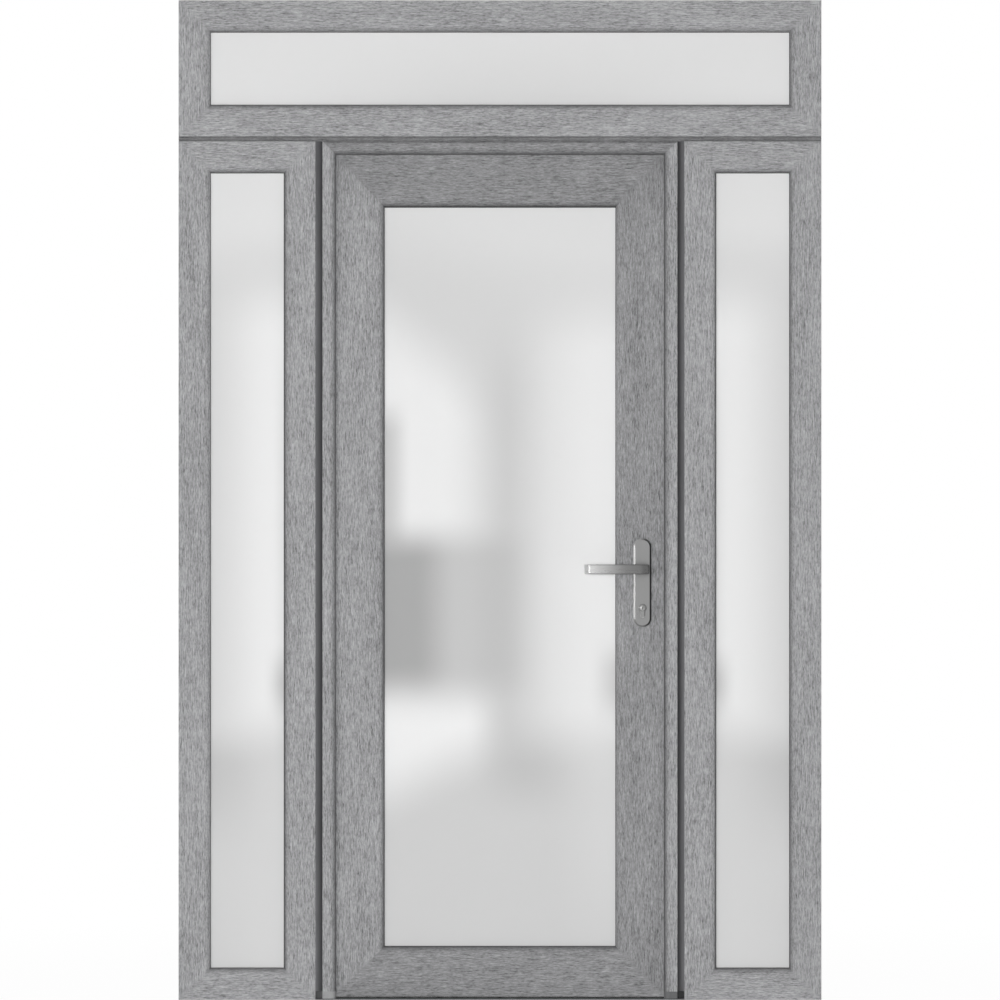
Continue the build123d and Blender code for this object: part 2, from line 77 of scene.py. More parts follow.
# Shader nodes
def setInputs(tree, node, inputs):
    for key, value in inputs.items():
        if isinstance(value, bpy.types.NodeSocket):
            tree.links.new(value, node.inputs[key])
        else:
            node.inputs[key].default_value = value


def addNode(tree, kind, inputs=None, **settings):
    node = tree.nodes.new(kind)
    for key, value in settings.items():
        setattr(node, key, value)
    setInputs(tree, node, inputs or {})
    return node


def math2(tree, operation, first, second=0.0, third=0.0):
    return addNode(tree, "ShaderNodeMath", {0: first, 1: second, 2: third}, operation=operation).outputs[0]


def mapRange(tree, value, start, end, low=0.0, high=1.0, soft=False):
    shape = "SMOOTHSTEP" if soft else "LINEAR"
    limits = {0: value, 1: start, 2: end, 3: low, 4: high}
    return addNode(tree, "ShaderNodeMapRange", limits, interpolation_type=shape).outputs[0]


def mixValue(tree, share, first, second):
    return addNode(tree, "ShaderNodeMix", {0: share, 2: first, 3: second}).outputs[0]


def scaledColour(tree, colour, level):
    return addNode(tree, "ShaderNodeVectorMath", {0: colour, "Scale": level}, operation="SCALE").outputs[0]


def splitPlace(tree, place):
    return addNode(tree, "ShaderNodeSeparateXYZ", {0: place}).outputs


def toneRamp(tree, value, stops):
    # stops: position and colour
    ramp = addNode(tree, "ShaderNodeValToRGB", {0: value})
    elements = ramp.color_ramp.elements
    while len(elements) < len(stops):
        elements.new(0.5)
    for element, (position, colour) in zip(elements, stops):
        element.position = position
        element.color = (*colour, 1)
    return ramp.outputs[0]


def grainNoise(tree, place, scale, detail, roughness):
    # noise stretched by a scale for each axis, in repeats per metre
    spread = addNode(tree, "ShaderNodeMapping", {"Vector": place, "Scale": scale}).outputs[0]
    settings = {"Vector": spread, "Scale": 1.0, "Detail": detail, "Roughness": roughness}
    return addNode(tree, "ShaderNodeTexNoise", settings).outputs[0]


def bumpFrom(tree, height, distance, strength=1.0):
    settings = {"Height": height, "Distance": distance, "Strength": strength}
    return addNode(tree, "ShaderNodeBump", settings).outputs[0]


def newFinish(name):
    material = bpy.data.materials.new(name)
    material.use_nodes = True
    tree = material.node_tree
    place = addNode(tree, "ShaderNodeTexCoord").outputs["Object"]
    return material, tree, tree.nodes["Principled BSDF"], place


# Studio: a soft light before each face, weaker ones at the sides and above, and a pale floor
studio = {
    "aim": (0.0, 0.0, 1.15),
    "skyLevel": 0.13,
    "mirrorLevel": (1.65, 0.5),  # what metal sees to the left and to the right
    "mirrorSpread": 0.3,  # how far to the sides that changes
    "floorTone": (0.89, 0.91),
    "floorSpeckle": 4.0,
    "floorHalf": 40.0,
    "floorFade": (0.9, 4.0),  # the floor turns to plain white over this distance
    "floorWhite": 0.97,  # share of plain white beside the set
    "lamps": {
        # name: place, width, watts, seen in metal
        "frontSoft": ((-0.5, -13.8, 1.2), 1.6, 1090.0, False),
        "leftGleam": ((-6.0, -12.2, 1.3), 1.5, 230.0, True),
        "leftSoft": ((-7.0, -0.8, 1.6), 1.0, 50.0, True),
        "leftFill": ((-7.0, 0.8, 1.6), 2.0, 100.0, False),
        "rightSoft": ((7.0, 0.8, 1.6), 2.0, 150.0, False),
        "topSoft": ((0.0, 0.0, 9.0), 4.0, 120.0, False),
        "backSoft": ((0.5, 13.8, 1.2), 1.6, 1300.0, False),
    },
}


def hangLamps(setup):
    for name, (place, width, watts, inMetal) in setup["lamps"].items():
        data = bpy.data.lights.new(name, "AREA")
        data.size = width
        data.energy = watts
        lamp = bpy.data.objects.new(name, data)
        lamp.location = place
        lamp.visible_camera = False
        lamp.visible_glossy = inMetal
        lamp.rotation_euler = (Vector(setup["aim"]) - Vector(place)).to_track_quat("-Z", "Y").to_euler()
        bpy.context.collection.objects.link(lamp)


def paintSky(setup):
    # white to the camera, a change from left to right to metal and glass, and dim to everything else
    world = bpy.data.worlds.new("studioWorld")
    world.use_nodes = True
    bpy.context.scene.world = world
    tree = world.node_tree
    rays = addNode(tree, "ShaderNodeLightPath").outputs
    mirrored = math2(tree, "MAXIMUM", rays["Is Glossy Ray"], rays["Is Transmission Ray"])
    across = splitPlace(tree, addNode(tree, "ShaderNodeTexCoord").outputs["Generated"])[0]
    spread = setup["mirrorSpread"]
    side = mapRange(tree, across, -spread, spread, *setup["mirrorLevel"], soft=True)
    unseen = mixValue(tree, mirrored, setup["skyLevel"], side)
    level = mixValue(tree, rays["Is Camera Ray"], unseen, 1.0)
    setInputs(tree, tree.nodes["Background"], {"Color": (1, 1, 1, 1), "Strength": level})


def layFloor(setup):
    corners = np.array([[-1, -1, 0], [1, -1, 0], [1, 1, 0], [-1, 1, 0]]) * setup["floorHalf"]
    mesh = bpy.data.meshes.new("paleFloor")
    mesh.from_pydata(corners.tolist(), [], [[0, 1, 2, 3]])
    floor = bpy.data.objects.new("paleFloor", mesh)
    bpy.context.collection.objects.link(floor)
    material, tree, shader, place = newFinish("paleFloor")
    settings = {"Vector": place, "Scale": setup["floorSpeckle"], "Detail": 3.0}
    speckle = addNode(tree, "ShaderNodeTexNoise", settings).outputs[0]
    tone = mapRange(tree, speckle, 0.0, 1.0, *setup["floorTone"])
    setInputs(tree, shader, {"Base Color": tone, "Roughness": 0.9, "Specular IOR Level": 0.0})
    reach = addNode(tree, "ShaderNodeVectorMath", {0: place}, operation="LENGTH").outputs["Value"]
    fade = mapRange(tree, reach, *setup["floorFade"], setup["floorWhite"], 1.0, soft=True)
    rays = addNode(tree, "ShaderNodeLightPath").outputs
    seen = math2(tree, "MAXIMUM", rays["Is Camera Ray"], rays["Is Glossy Ray"])
    seen = math2(tree, "MAXIMUM", seen, rays["Is Transmission Ray"])
    amount = math2(tree, "MULTIPLY", fade, seen)
    plain = addNode(tree, "ShaderNodeEmission", {"Color": (1, 1, 1, 1), "Strength": 1.0})
    mixed = addNode(tree, "ShaderNodeMixShader", {0: amount, 1: shader.outputs[0], 2: plain.outputs[0]})
    tree.links.new(mixed.outputs[0], tree.nodes["Material Output"].inputs["Surface"])
    mesh.materials.append(material)


bpy.context.scene.view_settings.view_transform = "Standard"
hangLamps(studio)
paintSky(studio)
layFloor(studio)
print("studio ready")

# Foil: grey wood grain that runs along each member and changes direction at the mitres
foil = {
    "tone": (0.334, 0.335, 0.342),
    # repeats per metre across and along the grain, the first two whole between the two front planes
    "streak": (423.1, 34.0),
    "fleck": (500.0, 130.0),
    "cloud": (20.0, 4.0),
    "shares": (0.49, 0.41, 0.1),  # of streak, fleck and cloud
    "ramp": ((0.32, 0.25), (0.46, 0.83), (0.55, 1.11), (0.7, 1.68)),  # pattern value, tone
    "blend": 0.016,  # half width of the soft change of grain at a mitre
    "roughSpan": (0.35, 0.65),  # pattern values over which the roughness falls
    "roughness": (0.66, 0.46),
    "specular": 0.25,
    "bump": 0.00035,
}
foilMade = {}


def grainScale(pair, along):
    across, down = pair
    return [down if axis == along else across for axis in "xyz"]


def foilPattern(tree, place, along):
    streakShare, fleckShare, cloudShare = foil["shares"]
    streak = grainNoise(tree, place, grainScale(foil["streak"], along), 3.0, 0.62)
    fleck = grainNoise(tree, place, grainScale(foil["fleck"], along), 2.0, 0.6)
    cloud = grainNoise(tree, place, grainScale(foil["cloud"], along), 2.0, 0.5)
    mixed = math2(tree, "MULTIPLY_ADD", streak, streakShare, math2(tree, "MULTIPLY", fleck, fleckShare))
    return math2(tree, "MULTIPLY_ADD", cloud, cloudShare, mixed)


def edgeGap(tree, value, middle, half):
    # distance of a coordinate from the nearer edge of a span
    return math2(tree, "SUBTRACT", half, math2(tree, "ABSOLUTE", math2(tree, "SUBTRACT", value, middle)))


def greyFoil(span, level, shades):
    # span: middle x and z and half size of the mitred frame whose four sides the grain follows
    # shades: painted shade, as axis, edge, side of the edge, reach and strength of each edge that the tone
    # falls towards
    key = (tuple(round(float(part), 5) for part in span), level, shades)
    if key in foilMade:
        return foilMade[key]
    material, tree, shader, place = newFinish(f"greyFoil{len(foilMade)}")
    middleX, middleZ, halfX, halfZ = key[0]
    parts = splitPlace(tree, place)
    gapX = edgeGap(tree, parts[0], middleX, halfX)
    gapZ = edgeGap(tree, parts[2], middleZ, halfZ)
    lean = math2(tree, "SUBTRACT", gapZ, gapX)
    upright = mapRange(tree, lean, -foil["blend"], foil["blend"], soft=True)
    pattern = mixValue(tree, upright, foilPattern(tree, place, "x"), foilPattern(tree, place, "z"))
    # level carries the member's painted shade
    tone = np.array(foil["tone"]) * level
    colour = toneRamp(tree, pattern, [(position, tone * lift) for position, lift in foil["ramp"]])
    for axis, edge, side, reach, strength in shades:
        # painted shade: tone times 1 - strength (1 - distance / reach) squared
        near = mapRange(tree, parts[axis], edge - side * reach, edge)
        shade = math2(tree, "MULTIPLY_ADD", math2(tree, "MULTIPLY", near, near), -strength, 1.0)
        colour = scaledColour(tree, colour, shade)
    settings = {
        "Base Color": colour,
        "Roughness": mapRange(tree, pattern, *foil["roughSpan"], *foil["roughness"]),
        "Specular IOR Level": foil["specular"],
        "Normal": bumpFrom(tree, pattern, foil["bump"]),
    }
    setInputs(tree, shader, settings)
    foilMade[key] = material
    return material


# Frost: pale etched glass with soft patches of painted light and painted shade
frost = {
    "tone": (0.652, 0.653, 0.653),
    "roughness": (0.42, 0.56),
    "specular": 0.4,
    "speckle": 1400.0,
    "speckleSwing": 0.03,
    "bump": (0.00004, 0.5),  # height and strength
    # patches of painted light and shade: x and z of a point inside, lift of the tone, and the straight edges
    # round it,
    # each with the direction it faces in degrees, its distance from the point and half its softness
    "leaf": [
        (0.0, 1.944, 0.1, [(-104, 0.19, 0.108)]),  # top
        (-0.166, 1.304, 0.28, [(0, 0.107, 0.085), (-90, 0.201, 0.061), (52, 0.178, 0.096)]),  # painted light patch
        (-0.273, 1.245, -0.38, [(0, 0.035, 0.031), (90, 0.142, 0.054), (-90, 0.142, 0.054)]),  # notch
        (0.019, 1.09, -0.1,  # grey column
         [(0, 0.052, 0.061), (180, 0.043, 0.061), (90, 0.45, 0.139), (-90, 0.427, 0.092)]),
        (-0.13, 0.913, -0.15, [(0, 0.166, 0.092), (90, 0.178, 0.054), (-90, 0.171, 0.061)]),  # grey block
        (-0.218, 0.92, -0.25, [(0, 0.066, 0.054), (90, 0.171, 0.054), (-90, 0.176, 0.061)]),  # dark block
        (-0.166, 0.616, 0.34, [(5, 0.137, 0.054), (90, 0.09, 0.07), (-63, 0.073, 0.085)]),  # wedge
        (0.0, 0.237, -0.06, [(90, 0.356, 0.124)]),  # lower part
        (0.052, 0.564, -0.14,  # round shade
         [(0, 0.09, 0.086), (180, 0.071, 0.076), (90, 0.071, 0.085), (-90, 0.076, 0.081)]),
        (0.213, 1.138, 0.24, [(180, 0.107, 0.124), (90, 0.486, 0.108), (-80, 0.503, 0.081)]),  # right column
        (0.273, 0.403, 0.08, [(180, 0.083, 0.096), (90, 0.225, 0.092), (-90, 0.19, 0.185)]),  # right foot
        (0.273, 0.754, -0.32, [(180, 0.028, 0.039), (90, 0.066, 0.054), (-90, 0.066, 0.054)]),  # painted shade at the edge
    ],
    "sidelight": [
        (0.6, 1.944, 0.13, [(-90, 0.178, 0.092)]),  # top
        (0.564, 1.162, 0.26, [(0, 0.062, 0.086), (90, 0.51, 0.108), (-100, 0.517, 0.081)]),  # inner side
        (0.514, 1.185, -0.09, [(0, 0.012, 0.016), (90, 0.284, 0.124), (-90, 0.593, 0.124)]),  # inner edge
        (0.514, 0.749, -0.34, [(0, 0.024, 0.027), (90, 0.052, 0.056), (-90, 0.052, 0.056)]),  # painted shade at the edge
        (0.683, 0.51, -0.19, [(180, 0.081, 0.105), (90, 0.1, 0.061), (-90, 0.095, 0.155)]),  # outer shade
        (0.72, 0.12, -0.05, [(180, 0.09, 0.09), (90, 0.2, 0.12)]),  # outer foot
    ],
    "transom": [
        (0.0, 2.205, 0.12, [(90, 0.474, 0.061)]),  # all
        (0.024, 2.098, -0.13, [(90, 0.107, 0.124), (180, 0.356, 0.339), (0, 0.356, 0.339)]),  # foot
    ],
}
noiseSpan = (0.3, 0.7)  # where most values of a noise lie


def paintedLightShadePatch(tree, place, x, z, lift, edges):
    # painted light and shade: lift times one falling edge for each side of the patch
    amount = lift
    for facing, reach, softness in edges:
        turn = math.radians(facing)
        normal = (math.cos(turn), 0, math.sin(turn))
        along = addNode(tree, "ShaderNodeVectorMath", {0: place, 1: normal}, operation="DOT_PRODUCT")
        middle = x * normal[0] + z * normal[2] + reach
        edge = mapRange(
            tree, along.outputs["Value"], middle - softness, middle + softness, 1.0, 0.0, soft=True
        )
        amount = math2(tree, "MULTIPLY", edge, amount)
    return amount


def frostedGlass(light):
    material, tree, shader, place = newFinish(f"frostedGlass_{light}")
    parts = splitPlace(tree, place)
    across = parts[0]
    if light == "sidelight":
        across = math2(tree, "ABSOLUTE", across)  # the two sidelights mirror each other
    flat = addNode(tree, "ShaderNodeCombineXYZ", {0: across, 2: parts[2]}).outputs[0]
    level = 1.0
    # painted light and shade patches added to the tone
    for patch in frost[light]:
        level = math2(tree, "ADD", paintedLightShadePatch(tree, flat, *patch), level)
    settings = {"Vector": place, "Scale": frost["speckle"], "Detail": 1.0}
    speckle = addNode(tree, "ShaderNodeTexNoise", settings).outputs[0]
    centred = math2(tree, "SUBTRACT", speckle, 0.5)
    level = math2(tree, "MULTIPLY_ADD", centred, frost["speckleSwing"], level)
    settings = {
        "Base Color": scaledColour(tree, frost["tone"], level),
        "Roughness": mapRange(tree, speckle, *noiseSpan, *frost["roughness"]),
        "Specular IOR Level": frost["specular"],
        "Normal": bumpFrom(tree, speckle, *frost["bump"]),
    }
    setInputs(tree, shader, settings)
    return material


# Plain finishes: metals, rubber and plastics
plainFinishes = {
    # name: colour, roughness low and high, metallic, repeats per metre on X, Y, Z, tone swing, bump
    "black_rubber": ((0.022, 0.022, 0.023), (0.6, 0.8), 0.0, (260, 260, 260), 0.35, 0.00012),
    "mill_aluminium": ((0.5, 0.5, 0.51), (0.28, 0.45), 1.0, (14, 700, 700), 0.22, 0.00006),
    "dark_trim": ((0.1, 0.1, 0.104), (0.55, 0.72), 0.0, (420, 420, 30), 0.25, 0.00015),
    "smooth_grey": ((0.3, 0.302, 0.306), (0.5, 0.62), 0.0, (160, 160, 160), 0.12, 0.00005),
    # a darker copy of smooth_grey whose colour is painted shade, for the sill block on the side away from
    # the light
    "shaded_grey": ((0.11, 0.111, 0.114), (0.5, 0.62), 0.0, (160, 160, 160), 0.12, 0.00005),
    "dark_aluminium": ((0.13, 0.13, 0.134), (0.35, 0.5), 1.0, (14, 700, 700), 0.2, 0.00003),
    "satin_steel": ((0.285, 0.285, 0.284), (0.27, 0.32), 1.0, (900, 900, 60), 0.04, 0.000001),
    # the lever's colour is raised to carry its painted reflection, bright at the tip
    "satin_lever": ((0.62, 0.62, 0.618), (0.26, 0.3), 1.0, (50, 900, 900), 0.04, 0.000001),
    "key_steel": ((0.36, 0.36, 0.356), (0.38, 0.44), 1.0, (600, 600, 600), 0.05, 0.000001),
    "plain_steel": ((0.55, 0.55, 0.555), (0.25, 0.42), 1.0, (500, 500, 16), 0.2, 0.00006),
}
broader = 9  # how much coarser the second noise of a plain finish is
fineShare = 0.6
jointEdges = (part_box("frame_head")[1][0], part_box("joint_strips")[1][0])
jointShadeTone = {"left": (0.72, 2.5), "right": (0.87, 1.93)}  # painted shade tone beside the frame, beside the sidelight
sillShade = {"blend": 0.0015, "tone": 0.4}
leverSheenTone = (
    # share of the bar from tip to neck, tone of the painted reflection
    (0.0, 1.0), (0.05, 0.95), (0.075, 0.6), (0.3, 0.56), (0.64, 0.34), (0.87, 0.27), (0.92, 0.2),
)


def jointPaintedShade(tree, place):
    # painted shade: dark beside the door frame and paler beside the sidelight
    across = splitPlace(tree, place)[0]
    inner, outer = jointEdges
    left = mapRange(tree, across, -inner, -outer, *jointShadeTone["left"])
    right = mapRange(tree, across, inner, outer, *jointShadeTone["right"])
    return mixValue(tree, math2(tree, "GREATER_THAN", across, 0.0), left, right)


def sillPaintedShade(tree, place):
    # painted shade: the part of a sill block under the joint is dark
    out = math2(tree, "ABSOLUTE", splitPlace(tree, place)[0])
    inner = jointEdges[0]
    return mapRange(tree, out, inner, inner + sillShade["blend"], 1.0, sillShade["tone"])


def leverPaintedSheen(tree, place):
    # painted reflection: bright at the tip and darker towards the neck
    tip, neck = (corner[0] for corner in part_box("outer_lever"))
    share = mapRange(tree, splitPlace(tree, place)[0], tip, neck)
    return toneRamp(tree, share, [(position, (tone, tone, tone)) for position, tone in leverSheenTone])


# painted light and shade laid over the tone of some plain finishes
paintedLightAndShade = {
    "dark_trim": jointPaintedShade,
    "smooth_grey": sillPaintedShade,
    "shaded_grey": sillPaintedShade,
    "satin_lever": leverPaintedSheen,
}


def plainFinish(name):
    colour, roughness, metallic, scale, swing, bump = plainFinishes[name]
    material, tree, shader, place = newFinish(name)
    fine = grainNoise(tree, place, scale, 3.0, 0.6)
    broad = grainNoise(tree, place, [part / broader for part in scale], 2.0, 0.5)
    both = math2(tree, "MULTIPLY_ADD", fine, fineShare, math2(tree, "MULTIPLY", broad, 1 - fineShare))
    level = mapRange(tree, both, *noiseSpan, 1 - swing, 1 + swing)
    if name in paintedLightAndShade:
        level = math2(tree, "MULTIPLY", level, paintedLightAndShade[name](tree, place))
    settings = {
        "Base Color": scaledColour(tree, colour, level),
        "Roughness": mapRange(tree, both, *noiseSpan, *roughness),
        "Metallic": metallic,
        "Normal": bumpFrom(tree, both, bump),
    }
    setInputs(tree, shader, settings)
    return material


finishes = {name: plainFinish(name) for name in plainFinishes}
finishes.update({f"frost_{light}": frostedGlass(light) for light in ("leaf", "sidelight", "transom")})

# Painted shade: members that stand in the lee of the frame, and those further from the light, get a darker
# tone
paintedShadeLevel = {
    "frame_head": 0.725,
    "leaf_top_rail": 0.745,
    "leaf_lock_stile": 0.84,
    "leaf_bottom_rail": 0.795,
    "transom_coupling_rail": 0.55,
}
# Painted shade: how much the tone falls at the inner edge of each side of a frame
edgeShade = {
    "reach": 0.019,
    "fixed": {"left": 0.0, "right": 0.55, "top": 0.5, "bottom": 0.55},
    "leaf": {"left": 0.4, "right": 0.15, "top": 0.62, "bottom": 0.55},
    "frame": {"left": 0.55, "right": 0.8, "top": 0.65},
    "headTop": (0.009, 0.3),  # reach and strength of the painted shadow at the head's upper edge
    "leafTop": (0.28, 0.27),  # the same, painted shade down from the top of the leaf's stiles
    "leafFoot": (0.3, 0.13),  # the same, painted shade up from the foot of the leaf's stiles
    "line": 0.007,  # reach of the painted shadow line beside the glass
    # strength of the painted shadow line beside the glass for each member
    "lines": {
        "left_sidelight_inner_stile": 0.75,
        "right_sidelight_inner_stile": 0.75,
        "leaf_top_rail": 0.85,
        "leaf_hinge_stile": 0.4,
        "left_sidelight_top_rail": 0.35,
        "right_sidelight_top_rail": 0.35,
    },
}
doorFrame = ("hinge_jamb", "lock_jamb", "frame_head")


def boxOf(*names):
    # lowest and highest corner of one or more nodes
    corners = np.array([[list(low), list(high)] for low, high in map(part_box, names)])
    return corners[:, 0].min(0), corners[:, 1].max(0)


def mitredSpan(node):
    # middle and half size of the rectangle whose diagonals are the node's mitres
    if node == "transom_coupling_rail":
        return (0.0, 0.0, 100.0, 1.0)  # grain along the rail all over
    if node.endswith("beads"):
        low, high = boxOf(node)
    elif node.startswith("leaf"):
        low, high = boxOf("leaf_hinge_stile", "leaf_lock_stile", "leaf_top_rail")
        low[2] += low[0] - boxOf("leaf_bottom_rail")[0][0]  # the rail starts inside the stiles' lips
    elif node in doorFrame:
        low, high = boxOf("frame_head")
        low[2] = -high[2]  # no rail at the foot, so the uprights run on
    else:
        unit = node.split("_")[0]
        members = [name for name in nodes if name.startswith(unit) and name.endswith(("_rail", "_stile"))]
        low, high = boxOf(*[name for name in members if name != "transom_coupling_rail"])
    middle, half = (low + high) / 2, (high - low) / 2
    return middle[0], middle[2], half[0], half[2]


def edgeShades(node):
    # painted shade at the member's inner edge, at the ends of the leaf's stiles, at the head's top and in
    # dark lines beside the glass
    if node == "transom_coupling_rail" or node.endswith("beads"):
        return ()
    low, high = boxOf(node)
    middleX, middleZ, halfX, halfZ = mitredSpan(node)
    across = ((low[0] + high[0]) / 2 - middleX) / halfX
    upward = ((low[2] + high[2]) / 2 - middleZ) / halfZ
    if abs(across) > abs(upward):
        side, axis, edge, facing = ("left", 0, high[0], 1) if across < 0 else ("right", 0, low[0], -1)
    else:
        side, axis, edge, facing = ("top", 2, low[2], -1) if upward > 0 else ("bottom", 2, high[2], 1)
    group = "leaf" if node.startswith("leaf") else "frame" if node in doorFrame else "fixed"
    shades = [(axis, float(edge), facing, edgeShade["reach"], edgeShade[group][side])]
    if group == "leaf" and axis == 0:
        shades.append((2, float(high[2]), 1, *edgeShade["leafTop"]))
        shades.append((2, float(low[2]), -1, *edgeShade["leafFoot"]))
    if node in edgeShade["lines"]:
        shades.append((axis, float(edge), facing, edgeShade["line"], edgeShade["lines"][node]))
    if node == "frame_head":
        shades.append((2, float(high[2]), 1, *edgeShade["headTop"]))
    return tuple(shades)


def finishFor(node):
    slot = recordSlots[node]
    if slot == "frosted_glass":
        unit = node.split("_")[0]
        light = unit if unit in ("leaf", "transom") else "sidelight"
        return finishes[f"frost_{light}"]
    if slot == "smooth_grey":
        # the right-hand sill block gets the copy darkened by painted shade
        return finishes["smooth_grey" if node.startswith("left") else "shaded_grey"]
    if node == "lock_cylinder":
        return finishes["key_steel"]
    if slot == "satin_steel":
        return finishes["satin_lever" if node.endswith("lever") else "satin_steel"]
    if slot != "grey_foil":
        return finishes[slot]
    return greyFoil(mitredSpan(node), paintedShadeLevel.get(node, 1.0), edgeShades(node))


for nodeName, node in nodes.items():
    finish = finishFor(nodeName)
    if not node.material_slots:
        node.data.materials.append(finish)
    for slot in node.material_slots:
        slot.material = finish
print("finishes on", len(nodes), "nodes")


# New pieces: each is a surface worked out on a grid and put into one mesh
def ringQuads(rows, columns):
    # corner numbers of the quads between neighbouring rings, each ring closed
    start = np.arange(rows - 1)[:, None] * columns
    column = np.arange(columns)[None, :]
    following = (column + 1) % columns
    corners = [start + column, start + following, start + columns + following, start + columns + column]
    return np.stack(corners, -1).reshape(-1, 4)


def endCaps(rows, columns):
    # the first ring, turned round, and the last ring as one face each
    return [list(range(columns))[::-1], list(range((rows - 1) * columns, rows * columns))]


def addPiece(name, points, faces, body, material, smoothAngle=40.0):
    mesh = bpy.data.meshes.new(name)
    mesh.from_pydata(np.asarray(points, float).tolist(), [], [list(map(int, face)) for face in faces])
    mesh.update()
    mesh.shade_smooth()
    mesh.set_sharp_from_angle(angle=math.radians(smoothAngle))
    mesh.materials.append(material)
    piece = bpy.data.objects.new(name, mesh)
    bpy.context.collection.objects.link(piece)
    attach(piece, body)
    return piece


def turned(radii, heights, segments):
    # a profile of radius and height turned round an axis, with a closed pole at each end
    angle = np.linspace(0, 2 * np.pi, segments, endpoint=False)
    ring = np.stack([np.outer(radii, np.cos(angle)), np.outer(radii, np.sin(angle))], -1)
    height = np.broadcast_to(np.asarray(heights)[:, None, None], (len(radii), segments, 1))
    points = np.concatenate([ring, height], -1).reshape(-1, 3)
    count = len(points)
    points = np.vstack([points, [0, 0, heights[0]], [0, 0, heights[-1]]])
    around = np.arange(segments)
    following = (around + 1) % segments
    first = np.stack([np.full(segments, count), following, around], -1)
    last = count - segments
    final = np.stack([np.full(segments, count + 1), last + around, last + following], -1)
    return points, [*ringQuads(len(radii), segments), *first, *final]


def planted(points, faces, spots):
    # copies of a small shape, each at its own place with its own axis
    allPoints, allFaces = [], []
    for place, axis in spots:
        axis = np.asarray(axis, float)
        side = np.array([0.0, 0.0, 1.0]) if abs(axis[2]) < 0.5 else np.array([1.0, 0.0, 0.0])
        turn = np.stack([side, np.cross(axis, side), axis])
        offset = len(points) * len(allPoints)
        allPoints.append(points @ turn + np.asarray(place))
        allFaces += [[int(corner) + offset for corner in face] for face in faces]
    return np.vstack(allPoints), allFaces


screw = {
    "segments": 48,
    "rings": 12,
    "reach": (0.06, 0.97),  # first and last ring of the dome over the head's radius
    "dome": 0.18,  # crown over the head's radius
    "sink": 0.35,  # how far the head reaches into the plate
    "recessDepth": 0.42,
    "recessArm": 0.62,
    "recessWidth": 0.15,
    "recessEdge": 0.05,
    "recessFade": 0.25,  # how softly an arm ends
}


def screwHead(radius):
    # dome: height = crown (1 - r squared); cross recess: two soft bars, each a product of two falling edges
    share = np.concatenate([np.linspace(*screw["reach"], screw["rings"]), [1.0, 1.0]])
    height = screw["dome"] * (1 - share**2)
    height[-1] = -screw["sink"]
    points, faces = turned(share * radius, height * radius, screw["segments"])
    x, y = np.abs(points[:, 0]) / radius, np.abs(points[:, 1]) / radius

    def bar(across, along):
        edge = screw["recessEdge"]
        width = np.clip((screw["recessWidth"] + edge - across) / edge, 0, 1)
        return width * np.clip((screw["recessArm"] - along) / screw["recessFade"], 0, 1)

    sunk = np.maximum(bar(x, y), bar(y, x)) * screw["recessDepth"] * radius
    top = points[:, 2] > 0
    points[top, 2] -= sunk[top]
    return points, faces


hardware = {
    "hingeLength": 0.092,
    "hingePlate": 0.003,
    "hingeScrew": 0.0042,
    "hingeColumns": (0.011, 0.028),  # from the leaf plate's outer edge
    "hingeRow": 0.032,
    "plateScrew": 0.0042,
    "plateEnd": 0.02,
    "faceplateScrew": 0.0036,
    "faceplateCount": 8,
    "faceplateEnd": 0.04,
    "keeperEnd": 0.01,
    "thresholdScrew": 0.004,
    "thresholdCount": 5,
    "thresholdBack": 0.0085,
    "cylinderRadius": 0.0085,
}


def addScrews(name, radius, spots, body, finish):
    points, faces = planted(*screwHead(radius), spots)
    addPiece(name, points, faces, body, finishes[finish])


def hingeLevels():
    low, high = boxOf("hinge_leaf_parts")
    half = hardware["hingeLength"] / 2
    return np.linspace(low[2] + half, high[2] - half, 3)


def leafScrews():
    low, high = boxOf("leaf_hinge_stile")
    face = high[1] + hardware["hingePlate"]
    spots = [
        ((low[0] + column, face, level + row), (0, 1, 0))
        for level in hingeLevels()
        for row in (-hardware["hingeRow"], hardware["hingeRow"])
        for column in hardware["hingeColumns"]
    ]
    addScrews("hingeScrews", hardware["hingeScrew"], spots, "leaf", "satin_steel")
    low, high = boxOf("inner_handle_plate")
    levels = (low[2] + hardware["plateEnd"], high[2] - hardware["plateEnd"])
    spots = [(((low[0] + high[0]) / 2, high[1], z), (0, 1, 0)) for z in levels]
    addScrews("handlePlateScrews", hardware["plateScrew"], spots, "leaf", "satin_steel")
    low, high = boxOf("lock_faceplate")
    end = hardware["faceplateEnd"]
    levels = np.linspace(low[2] + end, high[2] - end, hardware["faceplateCount"])
    spots = [((high[0], (low[1] + high[1]) / 2, z), (1, 0, 0)) for z in levels]
    addScrews("faceplateScrews", hardware["faceplateScrew"], spots, "leaf", "plain_steel")


def frameScrews():
    low, high = boxOf("lock_keeper")
    levels = (low[2] + hardware["keeperEnd"], high[2] - hardware["keeperEnd"])
    spots = [((low[0], (low[1] + high[1]) / 2, z), (-1, 0, 0)) for z in levels]
    addScrews("keeperScrews", hardware["faceplateScrew"], spots, "frame", "plain_steel")
    low, high = boxOf("threshold")
    reach = boxOf("leaf_glass")[1][0]
    across = np.linspace(-reach, reach, hardware["thresholdCount"])
    spots = [((x, high[1] - hardware["thresholdBack"], high[2]), (0, 0, 1)) for x in across]
    addScrews("thresholdScrews", hardware["thresholdScrew"], spots, "frame", "dark_aluminium")


hingeCap = {
    "radius": 0.008,
    "crown": 0.0022,
    "pole": 0.08,  # angle of the first ring
    "skirt": (0.999, 0.0004),  # share of the radius, and how far it reaches down
    "rings": 9,
    "segments": 40,
}


